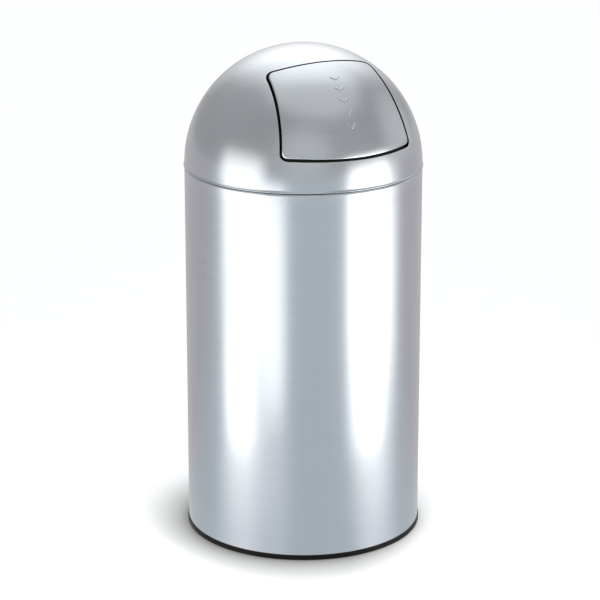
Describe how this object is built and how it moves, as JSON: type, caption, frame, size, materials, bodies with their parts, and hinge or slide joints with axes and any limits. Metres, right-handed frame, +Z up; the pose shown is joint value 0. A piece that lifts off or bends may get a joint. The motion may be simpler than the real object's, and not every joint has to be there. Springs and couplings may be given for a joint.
{
  "type": "push top countertop bin",
  "caption": "Round steel countertop bin with a domed lift-off lid, a spring-returned push flap and a lift-out bucket with a bail handle.",
  "frame": {"origin": "on the surface the bin stands on, under its middle", "axes": "+Z up along the body, -Y towards the side that the push flap faces, +X to the right of someone facing the flap from -Y"},
  "size_m": [0.151, 0.151, 0.3148],
  "materials": {
    "body_steel": "satin stainless sheet, fine grain",
    "pan_steel": "pressed galvanised sheet",
    "ring_plastic": "black moulded ring",
    "lid_steel": "satin stainless sheet, spun dome",
    "collar_plastic": "black moulded collar",
    "bracket_steel": "zinc-plated sheet",
    "rod_steel": "drawn steel rod",
    "cap_plastic": "black push-on cap",
    "spring_steel": "dark spring wire",
    "flap_steel": "satin stainless sheet",
    "carrier_plastic": "black moulded carrier",
    "bumper_rubber": "black rubber strip",
    "bucket_steel": "galvanised sheet",
    "ear_steel": "galvanised sheet",
    "rivet_aluminium": "pressed rivet heads",
    "bail_wire": "galvanised wire"
  },
  "bodies": {
    "bin": {"body_shell": "body_steel", "body_base": "pan_steel", "base_ring": "ring_plastic"},
    "lid": {"lid_dome": "lid_steel", "lid_collar": "collar_plastic", "hinge_bracket_left": "bracket_steel", "hinge_bracket_right": "bracket_steel", "hinge_rod": "rod_steel", "rod_cap_left": "cap_plastic", "rod_cap_right": "cap_plastic", "return_spring_left": "spring_steel", "return_spring_right": "spring_steel"},
    "flap": {"flap_panel": "flap_steel", "flap_carrier": "carrier_plastic", "flap_bumper_left": "bumper_rubber", "flap_bumper_right": "bumper_rubber"},
    "bucket": {"bucket": "bucket_steel", "bail_ear_left": "ear_steel", "bail_ear_right": "ear_steel", "ear_rivets": "rivet_aluminium"},
    "bail": {"bail": "bail_wire"}
  },
  "joints": [
    {"name": "lid_lift", "type": "slide", "parent": "bin", "child": "lid", "axis": [0, 0, 1], "range_m": [0, 0.3]},
    {"name": "flap_hinge", "type": "hinge", "parent": "lid", "child": "flap", "pos_m": [0, -0.01926, 0.30088], "axis": [1, 0, 0], "range_deg": [0, 50], "stiffness_Nm_per_rad": 0.05, "springref_deg": -51.57, "deforming": ["return_spring_left", "return_spring_right"]},
    {"name": "bucket_lift", "type": "slide", "parent": "bin", "child": "bucket", "axis": [0, 0, 1], "range_m": [0, 0.24]},
    {"name": "bail_swing", "type": "hinge", "parent": "bucket", "child": "bail", "pos_m": [0, 0, 0.2239], "axis": [1, 0, 0], "range_deg": [0, 90]}
  ],
  "couplings": [
    {"joint": "bucket_lift", "follows": "lid_lift", "ratio": 0.8}
  ]
}
